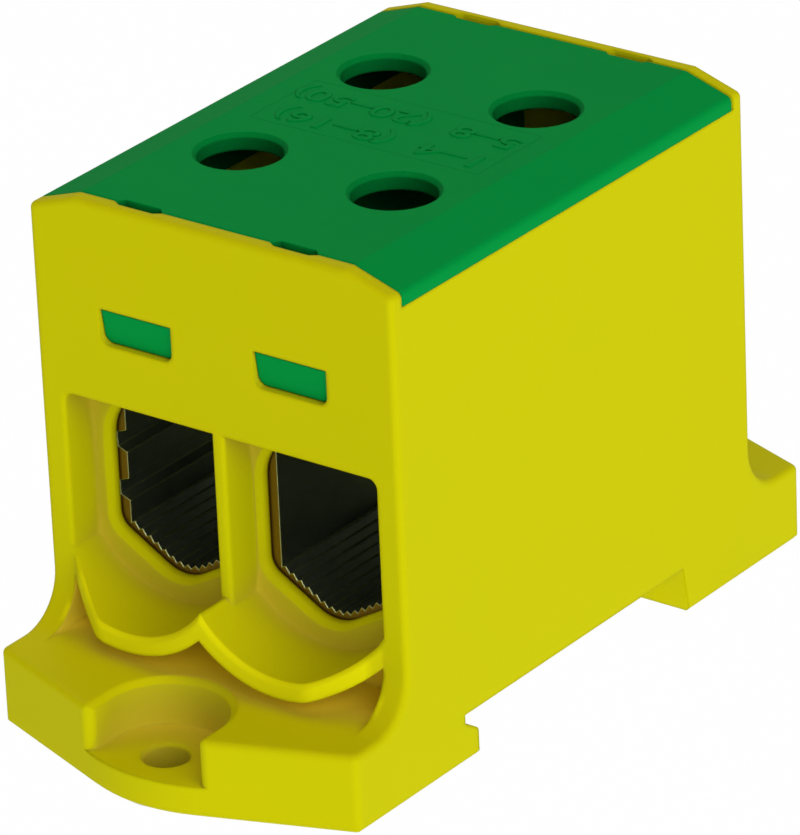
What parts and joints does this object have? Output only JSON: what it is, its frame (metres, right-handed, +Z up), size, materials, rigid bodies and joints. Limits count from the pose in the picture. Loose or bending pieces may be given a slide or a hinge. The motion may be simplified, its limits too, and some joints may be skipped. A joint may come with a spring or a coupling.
{
  "type": "power terminal block",
  "caption": "Two-pole feed-through power terminal block with funnel entries, a snap-in lid over hexagon-socket clamp screws, and feet for a rail or for panel screws.",
  "frame": {"origin": "middle of the base, on the plane the feet stand on", "axes": "+X across the block to the right, +Y from the front entries to the rear entries, +Z up"},
  "size_m": [0.0426, 0.0868, 0.0531],
  "materials": {
    "housing_plastic": "satin moulded, greenish yellow",
    "lid_plastic": "satin moulded, green",
    "bar_metal": "tin-plated, satin",
    "screw_steel": "zinc-plated, satin"
  },
  "bodies": {
    "block": {"housing": "housing_plastic", "lid": "lid_plastic", "conductor_bar": "bar_metal"},
    "screw_front_left": {"clamp_screw_front_left": "screw_steel"},
    "screw_front_right": {"clamp_screw_front_right": "screw_steel"},
    "screw_rear_left": {"clamp_screw_rear_left": "screw_steel"},
    "screw_rear_right": {"clamp_screw_rear_right": "screw_steel"}
  },
  "joints": [
    {"name": "clamp_front_left", "type": "slide", "parent": "block", "child": "screw_front_left", "axis": [0, 0, -1], "range_m": [-0.0043, 0.01]},
    {"name": "clamp_front_right", "type": "slide", "parent": "block", "child": "screw_front_right", "axis": [0, 0, -1], "range_m": [-0.0043, 0.01]},
    {"name": "clamp_rear_left", "type": "slide", "parent": "block", "child": "screw_rear_left", "axis": [0, 0, -1], "range_m": [-0.0043, 0.01]},
    {"name": "clamp_rear_right", "type": "slide", "parent": "block", "child": "screw_rear_right", "axis": [0, 0, -1], "range_m": [-0.0043, 0.01]}
  ]
}
